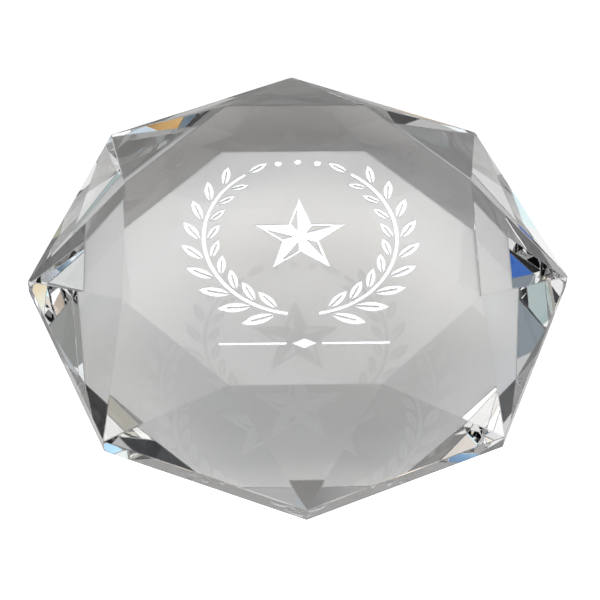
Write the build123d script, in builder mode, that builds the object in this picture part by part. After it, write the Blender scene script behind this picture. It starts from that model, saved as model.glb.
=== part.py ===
"""Faceted crystal award: an octagonal gem-cut block with an etched emblem on its table.

Millimetres, +Z up. The origin is the centre of the flat base, so the block stands on Z = 0.
Girdle corners point along +X, +Y, -X, -Y and the four diagonals between them; the table and the
base are octagons turned by half a side, so their flats face those same eight directions.
"""

import os
from math import cos, hypot, radians, sin

from build123d import *

# ---- driving dimensions of the block ----
SIDES = 8
GIRDLE_RADIUS = 40.0  # centre to a girdle corner: 80 mm across corners
TABLE_RADIUS = 27.7  # centre to a corner of the table
BASE_RADIUS = 29.3  # centre to a corner of the base, which the photo shows a little larger
PAVILION_HEIGHT = 9.9  # base up to the girdle band
GIRDLE_HEIGHT = 2.6  # the upright band round the widest part
CROWN_HEIGHT = 9.6  # girdle band up to the table
BEVEL_WIDTH = 0.16  # width of the polished flat along each sharp edge

# ---- driving dimensions of the emblem etched into the table ----
ETCH_DEPTH = 0.30  # table face down to the pocket floor
FROST_THICKNESS = 0.14  # frosted skin on the pocket floor
WREATH_RADIUS = 14.0  # emblem centre to the middle of a stem
STEM_WIDTH = 0.55
STEM_START = 9.0  # degrees from straight down to the lower end of a stem
STEM_END = 146.0  # degrees from straight down to the upper end of a stem
LEAF_PAIRS = 9  # pairs of leaves on each branch, besides the leaf at its tip
LEAF_LENGTH = 5.0
LEAF_WIDTH = 1.75
LEAF_BELLY = 0.46  # how far along a leaf its widest place is, as a share of its length
LEAF_SPREAD = 33.0  # degrees that a leaf leans away from its stem
INNER_LEAF_SHARE = 0.80  # size of a leaf inside the wreath beside its outer neighbour
LEAF_TAPER = 0.32  # share of its size that a leaf loses from the foot of a branch to its tip
LEAF_GAP = 0.30  # clear glass between a stem and the foot of its leaves
VEIN_WIDTH = 0.22  # clear slit along the middle of each leaf
VEIN_SHARE = 0.72  # length of the slit as a share of its leaf
FIRST_PAIR = 0.05  # how far along a stem its first pair of leaves is, as a share of its length
STAR_RADIUS = 7.0
STAR_NOTCH = 0.40  # radius of the star's inner corners, as a share of its outer radius
STAR_LINE = 0.34  # width of the outline round each clear half of an arm
STAR_ARMS = 5
BERRY_RADIUS = 0.52
BERRY_ANGLES = (-12, 0, 12)  # degrees each side of the top of the wreath
RULE_WIDTH = 24.0
RULE_THICKNESS = 0.42
RULE_DROP = 19.0  # emblem centre down to the rule
DIAMOND_SIZE = 1.7  # half the length of the diamond in the middle of the rule
DIAMOND_GAP = 0.8  # clear glass at each end of the diamond
EMBLEM_SHIFT = 0.5  # emblem centre towards the back of the table

# ---- sizes worked out from them ----
LOWER_GIRDLE_Z = PAVILION_HEIGHT
UPPER_GIRDLE_Z = LOWER_GIRDLE_Z + GIRDLE_HEIGHT
TABLE_Z = UPPER_GIRDLE_Z + CROWN_HEIGHT
SIDE_ANGLE = 360.0 / SIDES
HALF_SIDE = SIDE_ANGLE / 2
FLAT_SHARE = cos(radians(HALF_SIDE))  # an octagon's inner radius over its outer radius
POCKET_FLOOR_Z = TABLE_Z - ETCH_DEPTH
TOUCHING = 1e-4  # a face this near to an edge's middle belongs to that edge


def polar(radius, angle):
    """A point in the plane, at an angle in degrees from +X."""
    return (radius * cos(radians(angle)), radius * sin(radians(angle)))


# ---------------------------------------------------------------- facets
def facet(azimuth, inner, outer, inner_z, outer_z):
    """The plane of a facet that faces an azimuth and runs from (inner, inner_z) to (outer, outer_z)."""
    run = outer - inner
    rise = inner_z - outer_z
    slant = hypot(run, rise)
    upright = run / slant if rise > 0 else -run / slant
    outward = abs(rise) / slant
    direction = Vector(*polar(outward, azimuth), upright)
    return Plane(origin=(*polar(outer, azimuth), outer_z), z_dir=direction)


def facet_planes():
    """Crown and pavilion facets, a ring of sixteen triangles above the girdle and one below it.

    One kind has its tip at a girdle corner, the other stands on a girdle side.
    """
    crown = (TABLE_RADIUS, TABLE_Z, UPPER_GIRDLE_Z)
    pavilion = (BASE_RADIUS, 0.0, LOWER_GIRDLE_Z)
    planes = []
    for radius, flat_z, edge_z in (crown, pavilion):
        for side in range(SIDES):
            corner = side * SIDE_ANGLE
            middle = corner + HALF_SIDE
            planes.append(facet(corner, radius * FLAT_SHARE, GIRDLE_RADIUS, flat_z, edge_z))
            planes.append(facet(middle, radius, GIRDLE_RADIUS * FLAT_SHARE, flat_z, edge_z))
    return planes


def bevel_planes(solid):
    """One plane for each edge of a convex solid, square to the line between its two facets."""
    planes = []
    for edge in solid.edges():
        middle = edge @ 0.5
        normals = [
            face.normal_at() for face in solid.faces() if face.distance_to(middle) < TOUCHING
        ]
        both = normals[0] + normals[1]
        half_angle_tangent = (normals[0] - normals[1]).length / both.length
        depth = BEVEL_WIDTH / 2 * half_angle_tangent
        outward = both.normalized()
        planes.append(Plane(origin=middle - outward * depth, z_dir=outward))
    return planes


# ---------------------------------------------------------------- emblem outlines
def leaf_outline(length, width):
    """A pointed leaf along +X from the origin, with a clear slit along its middle."""
    with BuildSketch(mode=Mode.PRIVATE) as leaf:
        with BuildLine():
            ThreePointArc((0, 0), (length * LEAF_BELLY, width / 2), (length, 0))
            ThreePointArc((0, 0), (length * LEAF_BELLY, -width / 2), (length, 0))
        make_face()
        slit = length * VEIN_SHARE
        with Locations((slit / 2, 0)):
            Rectangle(slit, VEIN_WIDTH, mode=Mode.SUBTRACT)
    return leaf.sketch


def branch_outline(plane, turn):
    """One laurel branch: turn is -1 for the branch on -X and 1 for the one on +X."""
    sweep_angle = STEM_END - STEM_START
    foot = LEAF_GAP + STEM_WIDTH / 2
    with BuildSketch(plane) as branch:
        with BuildLine():
            CenterArc(
                (0, EMBLEM_SHIFT),
                WREATH_RADIUS,
                -90 + turn * STEM_START,
                turn * sweep_angle,
            )
        trace(line_width=STEM_WIDTH)
        for station in range(LEAF_PAIRS + 1):
            share = station / LEAF_PAIRS
            along = STEM_START + sweep_angle * (FIRST_PAIR + (1 - FIRST_PAIR) * share)
            azimuth = -90 + turn * along
            forward = azimuth + turn * 90
            centre_x, centre_y = polar(WREATH_RADIUS, azimuth)
            leans = (0,) if station == LEAF_PAIRS else (-1, 1)
            for lean in leans:
                size = 1 - LEAF_TAPER * share
                if lean == turn:
                    size *= INNER_LEAF_SHARE
                step_x, step_y = polar(foot, forward + lean * 90)
                place = (centre_x + step_x, centre_y + step_y + EMBLEM_SHIFT, 0)
                heading = forward + lean * LEAF_SPREAD
                with Locations(Location(place, (0, 0, heading))):
                    add(leaf_outline(LEAF_LENGTH * size, LEAF_WIDTH * size))
    return branch.sketch


def star_outline(plane):
    """A five-armed star with one half of each arm frosted and the other left clear in an outline."""
    inner = STAR_RADIUS * STAR_NOTCH
    step = 360.0 / STAR_ARMS
    corners = []
    for arm in range(STAR_ARMS):
        corners.append(polar(STAR_RADIUS, 90 + arm * step))
        corners.append(polar(inner, 90 + (arm + 0.5) * step))
    with BuildSketch(plane) as star:
        with Locations((0, EMBLEM_SHIFT)):
            Polygon(*corners, align=None)
            for arm in range(STAR_ARMS):
                tip = corners[2 * arm]
                notch = corners[2 * arm + 1]
                with BuildSketch(mode=Mode.PRIVATE) as half:
                    Polygon((0, 0), tip, notch, align=None)
                    offset(amount=-STAR_LINE, kind=Kind.INTERSECTION, mode=Mode.REPLACE)
                add(half.sketch, mode=Mode.SUBTRACT)
    return star.sketch


def berry_outline(plane):
    """Small round berries that bridge the gap between the upper ends of the branches."""
    with BuildSketch(plane) as berries:
        for angle in BERRY_ANGLES:
            x, y = polar(WREATH_RADIUS, 90 + angle)
            with Locations((x, y + EMBLEM_SHIFT)):
                Circle(BERRY_RADIUS)
    return berries.sketch


def rule_outline(plane):
    """A thin rule under the wreath, broken by a diamond."""
    inner = DIAMOND_SIZE + DIAMOND_GAP
    length = RULE_WIDTH / 2 - inner
    drop = EMBLEM_SHIFT - RULE_DROP
    with BuildSketch(plane) as rule:
        with Locations((-inner - length / 2, drop), (inner + length / 2, drop)):
            Rectangle(length, RULE_THICKNESS)
        with Locations((0, drop)):
            Polygon(
                (-DIAMOND_SIZE, 0),
                (0, -DIAMOND_SIZE / 2),
                (DIAMOND_SIZE, 0),
                (0, DIAMOND_SIZE / 2),
                align=None,
            )
    return rule.sketch


OUTLINES = {
    "etched_left_branch": lambda plane: branch_outline(plane, -1),
    "etched_right_branch": lambda plane: branch_outline(plane, 1),
    "etched_star": star_outline,
    "etched_berries": berry_outline,
    "etched_rule": rule_outline,
}

# ---------------------------------------------------------------- the crystal block
with BuildPart() as crystal_block:
    with BuildSketch():
        RegularPolygon(GIRDLE_RADIUS, SIDES)
    extrude(amount=TABLE_Z)
    for plane in facet_planes():
        split(bisect_by=plane, keep=Keep.BOTTOM)
    for plane in bevel_planes(crystal_block.part):
        split(bisect_by=plane, keep=Keep.BOTTOM)
    for outline in OUTLINES.values():
        extrude(outline(Plane.XY.offset(TABLE_Z)), amount=-ETCH_DEPTH, mode=Mode.SUBTRACT)
crystal_block.part.label = "crystal_block"

# ---------------------------------------------------------------- the frosted skins
finished = [crystal_block.part]
for name, outline in OUTLINES.items():
    with BuildPart() as frosted_skin:
        extrude(outline(Plane.XY.offset(POCKET_FLOOR_Z)), amount=FROST_THICKNESS)
    frosted_skin.part.label = name
    finished.append(frosted_skin.part)

os.makedirs("parts", exist_ok=True)
for part in finished:
    export_step(part, f"parts/{part.label}.step")
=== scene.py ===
"""The crystal award in a small studio: polished optical glass, a sandblasted emblem, a pale floor.

Metres, +Z up, in the frame of the CAD model. The block is the CAD node with a glass material. The
etched nodes are replaced by closed linings of their pockets. The light is in two parts: a room of
softboxes, which is what the glass shows, and a soft dome, which lights the paper and the frost;
the paper also gives off painted light under and in front of the block.
"""

import math
import random

import bmesh
import bpy
import numpy
from mathutils import Matrix, Vector, geometry, noise


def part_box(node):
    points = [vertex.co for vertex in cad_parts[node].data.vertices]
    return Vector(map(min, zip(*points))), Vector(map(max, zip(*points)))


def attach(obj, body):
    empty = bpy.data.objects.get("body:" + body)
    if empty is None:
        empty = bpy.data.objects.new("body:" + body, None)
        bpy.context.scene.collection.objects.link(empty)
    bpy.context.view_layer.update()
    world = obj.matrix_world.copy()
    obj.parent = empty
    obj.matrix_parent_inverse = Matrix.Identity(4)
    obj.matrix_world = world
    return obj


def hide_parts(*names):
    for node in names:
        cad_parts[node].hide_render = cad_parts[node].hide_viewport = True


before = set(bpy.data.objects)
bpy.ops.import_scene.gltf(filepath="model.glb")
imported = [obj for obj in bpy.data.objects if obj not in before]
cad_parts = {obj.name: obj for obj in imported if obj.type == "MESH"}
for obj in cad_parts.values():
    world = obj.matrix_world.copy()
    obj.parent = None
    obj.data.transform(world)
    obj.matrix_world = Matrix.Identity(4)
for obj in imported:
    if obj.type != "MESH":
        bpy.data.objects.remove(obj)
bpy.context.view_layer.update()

MM = 0.001

# ---- the camera ----
IMAGE_SIZE = 600  # width and height of the picture
SENSOR_WIDTH = 36.0
CAMERA_AZIMUTH = -3.41  # degrees; 0 looks along +Y
CAMERA_ELEVATION = 53.16
CAMERA_ROLL = 2.2
CAMERA_DISTANCE = 348.0 * MM
CAMERA_TARGET = (0, 0, 9.5 * MM)  # on the block's axis, near the foot of the girdle band
LENS = 140.14
SHIFT = (1.65 / IMAGE_SIZE, -9.03 / IMAGE_SIZE)
CLIP_START = 10 * MM
MAX_BOUNCES = 24  # a ray in the cut glass turns many times before it gets out
GLOSSY_BOUNCES = 16

# ---- the optical glass ----
CRYSTAL_IOR = 1.5168
LAPPING_SIZE = 7 * MM  # width of the faint waves that polishing leaves
LAPPING_HEIGHT = 0.004 * MM
LAPPING_DETAIL = 1
BEVEL_ROUGHNESS = 0.22
LEVEL_DIGITS = 3  # decimal places of the upward share of a normal, by which faces are sorted
LEVEL_MATCH = 0.002  # a face belongs to a facet when its normal's upward share is this near
FACET_AREA = 100 * MM * MM  # faces at one slope that cover more than this are facets

# ---- the frost ----
FROST_LIGHT, FROST_DARK = (0.97, 0.975, 0.98, 1), (0.86, 0.87, 0.89, 1)
FROST_SHADE = (0.1, 0.4)  # grit and cloud together, where the frost is dark and where it is light
FROST_ROUGHNESS = (0.62, 0.9)
FROST_SPECULAR = 0.35
FROST_PASSES = 0.12  # share of the light that the frost lets through
FROST_UNDERSIDE_PAINTED_SHADE = 0.68  # painted shade: the frost's colour on faces turned down, where it is seen through the block from below, as a share of its colour on top
GRIT_SIZE = 0.12 * MM
GRIT_HEIGHT = 0.02 * MM
GRIT_DETAIL = 4
GRIT_RANGE = (0.3, 0.7)  # the noise of the grit is nearly always between these
CLOUD_SIZE = 3 * MM

# ---- the linings of the etched pockets ----
SAME_PLACE = 0.0001 * MM  # corners of an outline nearer than this are one corner
JOINED = SAME_PLACE / 10  # points of a lining nearer than this are one point
EMBLEM_SEED = 7
GRAIN_STEP = 0.19 * MM  # between the points of the sandblasted floor
GRAIN_JITTER = 0.3  # how far a point is out of line, as a share of the step
GRAIN_MARGIN = GRAIN_STEP / 3  # from the shoulder to the first points of the floor
BOUNDARY_STEP = 0.25 * MM  # longest side along its outline
KEY_IN = 0.01 * MM  # how far the lining reaches into the glass at the walls and under the floor
RIM_DROP = 0.02 * MM  # table down to the lining's rim
SHOULDER = 0.10 * MM  # width of the soft step from the rim to the floor
SHOULDER_KEPT = 0.9  # share of SHOULDER; a point of its foot nearer to a wall is left out
RELIEF = 0.012 * MM  # height of the pits left by the grit
COARSE_SIZE = 3 * GRAIN_STEP  # size of the wider pits
COARSE_SHARE = 0.6  # how much of the relief the wider pits make
TURN_LIMIT = 0.1  # least length taken for the sum of the directions on both sides of a corner
MITRE_LIMIT = 0.4  # least straightness taken for a corner, so that it doesn't move too far

# ---- the studio ----
PAPER_SIZE = 300 * MM  # the sheet that the block stands on
PAPER_DROP = 0.05 * MM  # the air between the base and the paper
PAPER_GLOW = 0.85  # lifts the paper to white where it is seen directly, as an overexposed sweep is
PAPER_LIGHT, PAPER_DARK = (0.86, 0.85, 0.835, 1), (0.8, 0.79, 0.775, 1)
FIBRE_SIZE = 0.6 * MM
PAINTED_GATHERED_LIGHT = 0.12  # painted light: a glow on the paper under the back of the block, for the light that the crown gathers there
GATHERED_FRONT = (-24 * MM, 14 * MM)  # from front to back, where it starts and where it is whole
GATHERED_EDGE = (26.4 * MM, 27.2 * MM)  # from the axis to a side of the base octagon, where it ends
PAINTED_THROWN_LIGHT = 0.6  # painted light: a glow on the paper in front, for the light that the block and the lamps behind it throw there
THROWN_FADE = (-28 * MM, 18 * MM)  # from front to back, where it starts to fade and where it ends
THROWN_EDGE = (27.2 * MM, 27.8 * MM)  # from the axis to a side of the base octagon, where it starts
BACKDROP = 1.0  # what is behind the paper
AMBIENT = 0.15  # the room as the glass shows it, away from the lamps
DOME = 0.77  # the soft dome that lights the paper and the frost
DOME_LOW, DOME_HIGH = 44.0, 60.0  # degrees up where the dome starts and where it is whole
EMBLEM_LIGHT = 4.5  # the light on the frost alone, in watts per square metre
EMBLEM_LIGHT_FROM = (-30, 68)  # azimuth and elevation
EMBLEM_LIGHT_SPREAD = 20.0  # degrees across
BEHIND = 0.05  # a direction with a smaller share of a softbox's own direction doesn't see it
FRINGE = 0.008  # how far the red and the blue edge of a softbox stand apart from the green one
# degrees, azimuth from +Y towards +X: azimuth, elevation, radius, softness; then brightness
DARK_SIDE = (180, 35, 62, 12, 0.02)
# the same degrees: azimuth, elevation, half width, half height, softness; then colour
SOFTBOXES = {
    "back bank": (0, 58, 55, 14, 3, (1.0, 1.0, 1.0)),
    "key": (0, 57, 13, 6, 3, (1.85, 1.85, 1.8)),
    "key, left": (-20, 48, 8, 5, 2, (2.3, 2.3, 2.3)),
    "key, right": (20, 48, 7, 5, 2, (1.4, 1.4, 1.4)),
    "high left": (-30, 65, 10, 4, 2, (2.2, 2.2, 2.2)),
    "high right": (30, 65, 10, 4, 2, (2.2, 2.2, 2.2)),
    "left bank": (-70, 56, 26, 13, 3, (1.0, 1.0, 1.0)),
    "right bank": (60, 50, 12, 9, 2, (0.9, 0.9, 0.9)),
    "right card": (99, 38, 9, 4, 1, (0.95, 0.97, 0.95)),
    "right card, upper": (103, 47, 8, 4, 1, (0.42, 0.5, 0.48)),
    "back left card": (-52, 38, 18, 6, 2, (0.95, 0.95, 0.95)),
    "left wing": (-40, 28, 8, 7, 1, (0.65, 0.65, 0.65)),
    "left wing, inner": (-20, 32, 8, 4, 1, (0.95, 0.95, 1.0)),
    "back right strip": (30, 25, 14, 5, 2, (0.45, 0.45, 0.45)),
    "right wing": (76, 24, 11, 4, 1, (1.3, 1.3, 1.3)),
    "flag, back": (0, 27, 10, 8, 2, (0.04, 0.04, 0.04)),
    "back left low": (-19, 18, 5, 4, 1, (0.75, 0.7, 0.65)),
    "back left low, outer": (-29, 16, 5, 4, 1, (1.1, 1.1, 1.1)),
    "back right low": (33, 17, 10, 4, 1, (0.38, 0.37, 0.32)),
    "right strip": (98, 17, 14, 4, 1, (0.42, 0.53, 0.53)),
    "right front glow": (128, 12, 12, 5, 2, (0.9, 0.9, 0.9)),
    "front fill": (177, 22, 13, 4, 2, (1.25, 1.25, 1.25)),
    "front left fill": (-150, 9, 12, 4, 2, (1.5, 1.5, 1.5)),
    "left rear strip": (-140, 26, 11, 5, 2, (0.45, 0.5, 0.55)),
    "left strip": (-95, 25, 8, 3, 1, (0.9, 0.9, 0.9)),
    "left strip, low": (-80, 16, 8, 3, 1, (0.7, 0.75, 0.75)),
    "left low": (-100, 6, 11, 6, 1, (1.15, 1.15, 1.15)),
    "overhead": (0, 76, 25, 6, 3, (1.35, 1.35, 1.33)),
    "front top": (180, 83, 15, 6, 2, (0.55, 0.55, 0.55)),
    "front top, right": (152, 76, 6, 4, 1, (0.85, 0.88, 0.9)),
    "right rear high": (125, 55, 14, 5, 1, (0.68, 0.7, 0.69)),
    "right rear top": (126, 67, 18, 5, 2, (0.28, 0.29, 0.28)),
    "blue gel": (-121, 55, 10, 5, 1, (0.02, 0.12, 0.46)),
    "left rear top": (-122, 67, 18, 5, 2, (0.2, 0.24, 0.27)),
    "floor glow": (3, -1, 9, 8, 2, (0.45, 0.45, 0.45)),
    "right low glow": (74, 2, 13, 4, 1, (0.45, 0.47, 0.5)),
    "flag, back left": (-38, -5, 16, 5, 1, (0.05, 0.05, 0.05)),
    "flag, back right": (37, -4, 18, 4, 1, (0.03, 0.03, 0.03)),
    "flag, right": (66, 10, 14, 4, 1, (0.02, 0.02, 0.02)),
}


def direction(azimuth, elevation):
    """Unit vector towards an azimuth, 0 at +Y and 90 at +X, and an elevation, in degrees."""
    a, e = math.radians(azimuth), math.radians(elevation)
    return Vector((math.sin(a) * math.cos(e), math.cos(a) * math.cos(e), math.sin(e)))


# ---------------------------------------------------------------- shader nodes
def socket(sockets, identifier):
    """The socket of a node that has several sockets of one name."""
    return next(one for one in sockets if one.identifier == identifier)


def node(tree, kind, **settings):
    """A new node with its settings made."""
    made = tree.nodes.new(kind)
    for name, value in settings.items():
        setattr(made, name, value)
    return made


def wire(tree, source, target):
    """Puts a number, a vector or another node's output on an input."""
    if isinstance(source, bpy.types.NodeSocket):
        tree.links.new(source, target)
    else:
        target.default_value = source


def maths(tree, operation, *sources):
    """The output of a node that works on numbers."""
    made = node(tree, "ShaderNodeMath", operation=operation)
    for source, target in zip(sources, made.inputs):
        wire(tree, source, target)
    return made.outputs[0]


def vector_maths(tree, operation, *sources):
    """The output of a node that works on vectors."""
    made = node(tree, "ShaderNodeVectorMath", operation=operation)
    for source, target in zip(sources, made.inputs):
        wire(tree, source, target)
    return made.outputs["Value" if operation == "DOT_PRODUCT" else "Vector"]


def same_three(tree, value):
    """A vector of one number three times.

    A plain link would do, but Cycles works out such links of a shader all at once, and the shader
    of the room would run out of places to keep them and turn black.
    """
    made = node(tree, "ShaderNodeCombineXYZ")
    for target in made.inputs:
        wire(tree, value, target)
    return made.outputs[0]


def separated(tree, vector):
    """The x, y and z outputs of a vector."""
    made = node(tree, "ShaderNodeSeparateXYZ")
    wire(tree, vector, made.inputs[0])
    return made.outputs


def smooth(tree, value, low, high, start=0.0, end=1.0):
    """A soft step from start to end as the value goes from low to high."""
    made = node(tree, "ShaderNodeMapRange", interpolation_type="SMOOTHSTEP")
    for source, target in zip((value, low, high, start, end), made.inputs):
        wire(tree, source, target)
    return made.outputs["Result"]


def mottle(tree, place, size, detail=2):
    """Noise from 0 to 1 with lumps of a size."""
    made = node(tree, "ShaderNodeTexNoise")
    wire(tree, place, made.inputs["Vector"])
    wire(tree, 1 / size, made.inputs["Scale"])
    wire(tree, detail, made.inputs["Detail"])
    return made.outputs["Fac"]


def bump(tree, height, distance):
    """The normal of a surface that is raised by a height from 0 to 1, times a distance."""
    made = node(tree, "ShaderNodeBump")
    wire(tree, distance, made.inputs["Distance"])
    wire(tree, height, made.inputs["Height"])
    return made.outputs["Normal"]


def blended(tree, share, first, second):
    """The first colour, or the second one where share is 1."""
    made = node(tree, "ShaderNodeMix", data_type="RGBA")
    for name, source in (("Factor_Float", share), ("A_Color", first), ("B_Color", second)):
        wire(tree, source, socket(made.inputs, name))
    return socket(made.outputs, "Result_Color")


def choose(tree, share, first, second):
    """The first light or surface, or the second one where share is 1."""
    made = node(tree, "ShaderNodeMixShader")
    for source, target in zip((share, first, second), made.inputs):
        wire(tree, source, target)
    return made.outputs[0]


# ---------------------------------------------------------------- materials
def new_material(name):
    """A material with nodes, its tree and its Principled shader."""
    material = bpy.data.materials.new(name)
    material.use_nodes = True
    return material, material.node_tree, material.node_tree.nodes["Principled BSDF"]


def crystal_material():
    """Polished optical glass: hardly wavy facets, and satin bevels where the edges were arrised."""
    material, tree, shader = new_material("crystal_glass")
    shader.inputs["Base Color"].default_value = (1, 1, 1, 1)
    shader.inputs["Transmission Weight"].default_value = 1
    shader.inputs["IOR"].default_value = CRYSTAL_IOR
    normal = separated(tree, node(tree, "ShaderNodeNewGeometry").outputs["True Normal"])
    steepness = maths(tree, "ABSOLUTE", normal["Z"])
    bevel = 1.0
    for level in facet_levels():
        off_facet = maths(tree, "ABSOLUTE", maths(tree, "SUBTRACT", steepness, level))
        bevel = maths(tree, "MULTIPLY", bevel, maths(tree, "GREATER_THAN", off_facet, LEVEL_MATCH))
    wire(tree, maths(tree, "MULTIPLY", bevel, BEVEL_ROUGHNESS), shader.inputs["Roughness"])
    place = node(tree, "ShaderNodeTexCoord").outputs["Object"]
    lapping = mottle(tree, place, LAPPING_SIZE, LAPPING_DETAIL)
    wire(tree, bump(tree, lapping, LAPPING_HEIGHT), shader.inputs["Normal"])
    return material


def facet_levels():
    """The upward share of every facet's normal, read from the block's widest faces."""
    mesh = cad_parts["crystal_block"].data
    areas = {}
    for polygon in mesh.polygons:
        level = round(abs(polygon.normal.z), LEVEL_DIGITS)
        areas[level] = areas.get(level, 0) + polygon.area
    return [level for level, area in areas.items() if area > FACET_AREA]


def frost_material():
    """Sandblasted glass: white, grainy, with painted shade on its underside, and letting part of
    the light through.
    """
    material, tree, shader = new_material("sandblasted_frost")
    place = node(tree, "ShaderNodeTexCoord").outputs["Object"]
    grit = mottle(tree, place, GRIT_SIZE, GRIT_DETAIL)
    both = maths(tree, "MULTIPLY", grit, mottle(tree, place, CLOUD_SIZE))
    colour = blended(tree, smooth(tree, both, *FROST_SHADE), FROST_DARK, FROST_LIGHT)
    upward = separated(tree, node(tree, "ShaderNodeNewGeometry").outputs["True Normal"])["Z"]
    # painted shade: the frost is darker on its faces turned down
    colour = vector_maths(tree, "MULTIPLY", colour, smooth(tree, upward, -1, 0, FROST_UNDERSIDE_PAINTED_SHADE, 1.0))
    wire(tree, colour, shader.inputs["Base Color"])
    wire(tree, smooth(tree, grit, *GRIT_RANGE, *FROST_ROUGHNESS), shader.inputs["Roughness"])
    shader.inputs["Specular IOR Level"].default_value = FROST_SPECULAR
    wire(tree, bump(tree, grit, GRIT_HEIGHT), shader.inputs["Normal"])
    passing = node(tree, "ShaderNodeBsdfTranslucent")
    wire(tree, colour, passing.inputs["Color"])
    surface = choose(tree, FROST_PASSES, shader.outputs[0], passing.outputs[0])
    wire(tree, surface, tree.nodes["Material Output"].inputs["Surface"])
    return material


glass = crystal_material()
frost = frost_material()
for material_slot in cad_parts["crystal_block"].material_slots:
    material_slot.material = glass


# ---------------------------------------------------------------- the sandblasted emblem
def outline_loops(mesh):
    """The closed outlines of a skin's flat top, each with the skin on its left."""
    top = max(vertex.co.z for vertex in mesh.vertices)
    sides = set()
    for polygon in mesh.polygons:
        corners = [mesh.vertices[index].co for index in polygon.vertices]
        if min(corner.z for corner in corners) < top - SAME_PLACE:
            continue
        ring = [(round(c.x / SAME_PLACE), round(c.y / SAME_PLACE)) for c in corners]
        for side in zip(ring, ring[1:] + ring[:1]):
            if side[::-1] in sides:
                sides.remove(side[::-1])
            else:
                sides.add(side)
    following = dict(sorted(sides))
    loops = []
    while following:
        start = next(iter(following))
        loop = [start]
        point = following.pop(start)
        while point != start:
            loop.append(point)
            point = following.pop(point)
        loops.append(numpy.array(loop) * SAME_PLACE)
    return loops


def divided(loop):
    """The outline with its long sides divided."""
    points = []
    for first, second in zip(loop, numpy.roll(loop, -1, axis=0)):
        parts = max(1, math.ceil(numpy.linalg.norm(second - first) / BOUNDARY_STEP))
        points += [first + (second - first) * part / parts for part in range(parts)]
    return numpy.array(points)


def moved_out(loop, distance):
    """The outline moved away from the skin; a negative distance moves it into the skin."""
    before = loop - numpy.roll(loop, 1, axis=0)
    after = numpy.roll(loop, -1, axis=0) - loop
    before /= numpy.linalg.norm(before, axis=1, keepdims=True)
    after /= numpy.linalg.norm(after, axis=1, keepdims=True)
    along = before + after
    along /= numpy.maximum(numpy.linalg.norm(along, axis=1, keepdims=True), TURN_LIMIT)
    outward = numpy.stack([along[:, 1], -along[:, 0]], axis=1)
    straightness = numpy.maximum((along * before).sum(axis=1, keepdims=True), MITRE_LIMIT)
    return loop + outward * distance / straightness


def depth_inside(points, loops):
    """How far each point is inside the outlines, below 0 outside them."""
    starts = numpy.concatenate(loops)
    sides = numpy.concatenate([numpy.roll(loop, -1, axis=0) for loop in loops]) - starts
    depths = []
    for point in points:
        to_point = point - starts
        share = numpy.clip((to_point * sides).sum(axis=1) / (sides**2).sum(axis=1), 0, 1)
        distance = numpy.linalg.norm(to_point - sides * share[:, None], axis=1).min()
        above = (starts[:, 1] > point[1]) != (starts[:, 1] + sides[:, 1] > point[1])
        rise = numpy.where(above, sides[:, 1], 1)
        crossing = to_point[:, 0] < sides[:, 0] * to_point[:, 1] / rise
        inside = numpy.count_nonzero(above & crossing) % 2
        depths.append(distance if inside else -distance)
    return numpy.array(depths)


def lining_height(x, y, depth, table, floor):
    """Height of the lining's upper side: a rim at the walls and a pitted floor inside."""
    share = min(max(depth / SHOULDER, 0), 1)
    share = share * share * (3 - 2 * share)  # a soft step
    coarse = noise.noise(Vector((x, y, 0)) / COARSE_SIZE)
    fine = noise.noise(Vector((x, y, 1)) / GRAIN_STEP)
    pits = COARSE_SHARE * coarse + (1 - COARSE_SHARE) * fine
    rim = table - RIM_DROP
    return rim + share * (floor - rim + RELIEF * pits)


def floor_grid(low, high):
    """Points of the sandblasted floor over a node's box, a little out of line."""
    draws = random.Random(EMBLEM_SEED)
    grid = []
    for row in range(int((high[1] - low[1]) / GRAIN_STEP) + 1):
        for column in range(int((high[0] - low[0]) / GRAIN_STEP) + 1):
            x = low[0] + (column + draws.uniform(-GRAIN_JITTER, GRAIN_JITTER)) * GRAIN_STEP
            y = low[1] + (row + draws.uniform(-GRAIN_JITTER, GRAIN_JITTER)) * GRAIN_STEP
            grid.append((x, y))
    return numpy.array(grid)


def flat_lining(loops, grid):
    """Points and triangles of a lining in the plane, how deep each point is, and what is kept."""
    grid = grid[depth_inside(grid, loops) > SHOULDER + GRAIN_MARGIN]
    ring = numpy.concatenate([moved_out(loop, -SHOULDER) for loop in loops])
    ring = ring[depth_inside(ring, loops) > SHOULDER_KEPT * SHOULDER]
    points = [Vector(point) for point in numpy.concatenate(loops + [ring, grid])]
    edges = []
    for loop in loops:
        first = len(edges)
        edges += [(first + i, first + (i + 1) % len(loop)) for i in range(len(loop))]
    flat, _, triangles, _, _, _ = geometry.delaunay_2d_cdt(points, edges, [], 0, JOINED)
    flat = numpy.array([tuple(point) for point in flat])
    centres = flat[numpy.array(triangles)].mean(axis=1)
    inside = depth_inside(centres, loops) > 0
    kept = [triangle for triangle, is_inside in zip(triangles, inside) if is_inside]
    return flat, kept, depth_inside(flat, loops)


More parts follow.
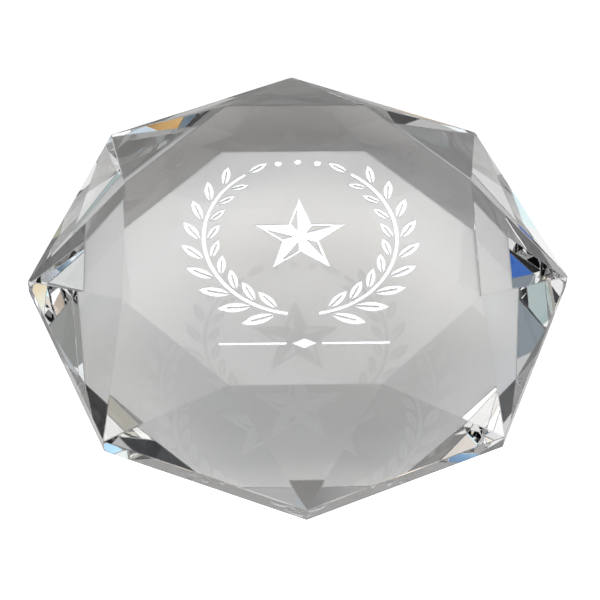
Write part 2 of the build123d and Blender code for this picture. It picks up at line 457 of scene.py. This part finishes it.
def frosted_lining(node_name, piece_name, table):
    """A closed lining for the pockets of an etched node: floor, walls and a soft step between."""
    low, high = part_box(node_name)
    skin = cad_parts[node_name].data
    loops = [moved_out(divided(loop), KEY_IN) for loop in outline_loops(skin)]
    flat, triangles, depths = flat_lining(loops, floor_grid(low, high))
    mesh = bmesh.new()
    upper, lower = [], []
    for (x, y), depth in zip(flat, depths):
        upper.append(mesh.verts.new((x, y, lining_height(x, y, depth, table, high[2]))))
        lower.append(mesh.verts.new((x, y, low[2] - KEY_IN)))
    sides = set()
    for a, b, c in triangles:
        mesh.faces.new((upper[a], upper[b], upper[c])).smooth = True
        mesh.faces.new((lower[c], lower[b], lower[a]))
        sides.update(((a, b), (b, c), (c, a)))
    for a, b in sorted(sides):
        if (b, a) not in sides:
            mesh.faces.new((lower[a], lower[b], upper[b], upper[a]))
            mesh.edges.get((upper[a], upper[b])).smooth = False
    loose = [vertex for vertex in mesh.verts if not vertex.link_faces]
    bmesh.ops.delete(mesh, geom=loose, context="VERTS")
    data = bpy.data.meshes.new(piece_name)
    mesh.to_mesh(data)
    mesh.free()
    data.materials.append(frost)
    piece = bpy.data.objects.new(piece_name, data)
    bpy.context.scene.collection.objects.link(piece)
    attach(piece, "root")
    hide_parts(node_name)
    return piece


table_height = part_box("crystal_block")[1][2]
linings = [
    frosted_lining(name, name.replace("etched", "frost"), table_height)
    for name in sorted(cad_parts)
    if name.startswith("etched")
]


# ---------------------------------------------------------------- floor
def paper_light(tree, place):
    """The light that the paper gives off: painted light under the block and in front of it, and a
    lift to white where it is seen directly.
    """
    across, along, _ = separated(tree, place)
    beside, beyond = maths(tree, "ABSOLUTE", across), maths(tree, "ABSOLUTE", along)
    diagonal = maths(tree, "DIVIDE", maths(tree, "ADD", beside, beyond), math.sqrt(2))
    octagon = maths(tree, "MAXIMUM", diagonal, maths(tree, "MAXIMUM", beside, beyond))
    # painted light: a glow on the paper under the back of the block
    gathered = smooth(tree, along, *GATHERED_FRONT, 0.0, PAINTED_GATHERED_LIGHT)
    gathered = maths(tree, "MULTIPLY", gathered, smooth(tree, octagon, *GATHERED_EDGE, 1.0, 0.0))
    # painted light: a glow on the paper in front of the block, fading towards the back
    thrown = smooth(tree, along, *THROWN_FADE, PAINTED_THROWN_LIGHT, 0.0)
    thrown = maths(tree, "MULTIPLY", thrown, smooth(tree, octagon, *THROWN_EDGE))
    seen = node(tree, "ShaderNodeLightPath").outputs["Is Camera Ray"]
    glow = maths(tree, "MULTIPLY", seen, PAPER_GLOW)
    return maths(tree, "ADD", glow, maths(tree, "ADD", gathered, thrown))


def paper_material():
    """Matt white paper with a faint mottle of fibres."""
    material, tree, shader = new_material("floor_paper")
    place = node(tree, "ShaderNodeTexCoord").outputs["Object"]
    colour = blended(tree, mottle(tree, place, FIBRE_SIZE), PAPER_DARK, PAPER_LIGHT)
    wire(tree, colour, shader.inputs["Base Color"])
    shader.inputs["Roughness"].default_value = 1.0
    shader.inputs["Specular IOR Level"].default_value = 0.0
    shader.inputs["Emission Color"].default_value = (1, 1, 1, 1)
    wire(tree, paper_light(tree, place), shader.inputs["Emission Strength"])
    return material


bpy.ops.mesh.primitive_plane_add(size=PAPER_SIZE, location=(0, 0, -PAPER_DROP))
floor = bpy.context.object
floor.name = "studio_floor"
floor.data.materials.append(paper_material())


# ---------------------------------------------------------------- light
def softbox(tree, view, below, azimuth, elevation, half_width, half_height, softness, light):
    """Lays a rectangular softbox over the room, with a warm and a cool fringe like a prism's."""
    facing = direction(azimuth, elevation)
    across = facing.cross((0, 0, 1)).normalized()
    upward = across.cross(facing)
    blur = math.tan(math.radians(softness))
    wide, high = (math.tan(math.radians(half)) for half in (half_width, half_height))
    ahead = vector_maths(tree, "DOT_PRODUCT", view, facing)
    depth = maths(tree, "MAXIMUM", ahead, BEHIND)
    x = maths(tree, "DIVIDE", vector_maths(tree, "DOT_PRODUCT", view, across), depth)
    y = maths(tree, "DIVIDE", vector_maths(tree, "DOT_PRODUCT", view, upward), depth)
    x_share = smooth(tree, maths(tree, "ABSOLUTE", x), wide - blur, wide + blur, 1.0, 0.0)
    x_share = maths(tree, "MULTIPLY", x_share, maths(tree, "GREATER_THAN", ahead, BEHIND))
    edges = vector_maths(tree, "SUBTRACT", same_three(tree, y), (-FRINGE, 0, FRINGE))
    edges = vector_maths(tree, "ABSOLUTE", edges)
    y_share = node(
        tree, "ShaderNodeMapRange", data_type="FLOAT_VECTOR", interpolation_type="SMOOTHSTEP"
    )
    wire(tree, edges, socket(y_share.inputs, "Vector"))
    for name, value in (
        ("From_Min_FLOAT3", high - blur),
        ("From_Max_FLOAT3", high + blur),
        ("To_Min_FLOAT3", 1),
        ("To_Max_FLOAT3", 0),
    ):
        socket(y_share.inputs, name).default_value = (value, value, value)
    y_share = socket(y_share.outputs, "Vector")
    share = vector_maths(tree, "MULTIPLY", y_share, same_three(tree, x_share))
    over = node(tree, "ShaderNodeMix", data_type="VECTOR", factor_mode="NON_UNIFORM")
    wire(tree, share, socket(over.inputs, "Factor_Vector"))
    wire(tree, below, socket(over.inputs, "A_Vector"))
    wire(tree, light, socket(over.inputs, "B_Vector"))
    return socket(over.outputs, "Result_Vector")


def background(tree, colour):
    """A background shader of a colour."""
    made = node(tree, "ShaderNodeBackground")
    wire(tree, colour, made.inputs["Color"])
    return made.outputs[0]


def studio_world():
    """A room of softboxes for what the glass shows, and a soft dome for the paper and the frost."""
    world = bpy.data.worlds.new("studio")
    world.use_nodes = True
    tree = world.node_tree
    view = node(tree, "ShaderNodeTexCoord").outputs["Generated"]
    azimuth, elevation, radius, softness, light = DARK_SIDE
    room = smooth(
        tree,
        vector_maths(tree, "DOT_PRODUCT", view, direction(azimuth, elevation)),
        math.cos(math.radians(radius + softness / 2)),
        math.cos(math.radians(radius - softness / 2)),
        AMBIENT,
        light,
    )
    room = same_three(tree, room)
    for box in SOFTBOXES.values():
        room = softbox(tree, view, room, *box)
    low, high = (math.sin(math.radians(angle)) for angle in (DOME_LOW, DOME_HIGH))
    dome = smooth(tree, separated(tree, view)["Z"], low, high, 0.0, DOME)
    path = node(tree, "ShaderNodeLightPath").outputs
    through = maths(tree, "MAXIMUM", path["Is Transmission Ray"], path["Is Singular Ray"])
    light = choose(tree, through, background(tree, dome), background(tree, room))
    behind = background(tree, (BACKDROP, BACKDROP, BACKDROP, 1))
    light = choose(tree, path["Is Camera Ray"], light, behind)
    wire(tree, light, tree.nodes["World Output"].inputs["Surface"])
    bpy.context.scene.world = world


def emblem_light(receivers):
    """A sun that lights the frost alone, as a snoot aimed at it would."""
    group = bpy.data.collections.new("emblem_light_receivers")
    for piece in receivers:
        group.objects.link(piece)
    data = bpy.data.lights.new("emblem_snoot", "SUN")
    data.energy = EMBLEM_LIGHT
    data.angle = math.radians(EMBLEM_LIGHT_SPREAD)
    lamp = bpy.data.objects.new("emblem_snoot", data)
    bpy.context.scene.collection.objects.link(lamp)
    lamp.rotation_euler = direction(*EMBLEM_LIGHT_FROM).to_track_quat("Z", "Y").to_euler()
    lamp.light_linking.receiver_collection = group


emblem_light(linings)
studio_world()


# ---------------------------------------------------------------- camera
def place_camera():
    """The camera looks at the block's axis, rolled a little."""
    a, e = math.radians(CAMERA_AZIMUTH), math.radians(CAMERA_ELEVATION)
    back = Vector((math.sin(a) * math.cos(e), -math.cos(a) * math.cos(e), math.sin(e)))
    right = Vector((0, 0, 1)).cross(back).normalized()
    turn = Matrix.Rotation(math.radians(CAMERA_ROLL), 3, back)
    right = turn @ right
    up = back.cross(right)
    data = bpy.data.cameras.new("camera")
    data.sensor_width = SENSOR_WIDTH
    data.lens = LENS
    data.shift_x, data.shift_y = SHIFT
    data.clip_start = CLIP_START
    camera = bpy.data.objects.new("camera", data)
    bpy.context.scene.collection.objects.link(camera)
    camera.matrix_world = Matrix.LocRotScale(
        Vector(CAMERA_TARGET) + back * CAMERA_DISTANCE, Matrix((right, up, back)).transposed(), None
    )
    bpy.context.scene.camera = camera


place_camera()

scene = bpy.context.scene
scene.view_settings.view_transform = "Standard"
scene.cycles.use_denoising = True
scene.cycles.sampling_pattern = "TABULATED_SOBOL"  # the denoiser makes a hatch of the usual one
scene.cycles.blur_glossy = 0.0
scene.cycles.max_bounces = MAX_BOUNCES
scene.cycles.transmission_bounces = MAX_BOUNCES
scene.cycles.glossy_bounces = GLOSSY_BOUNCES
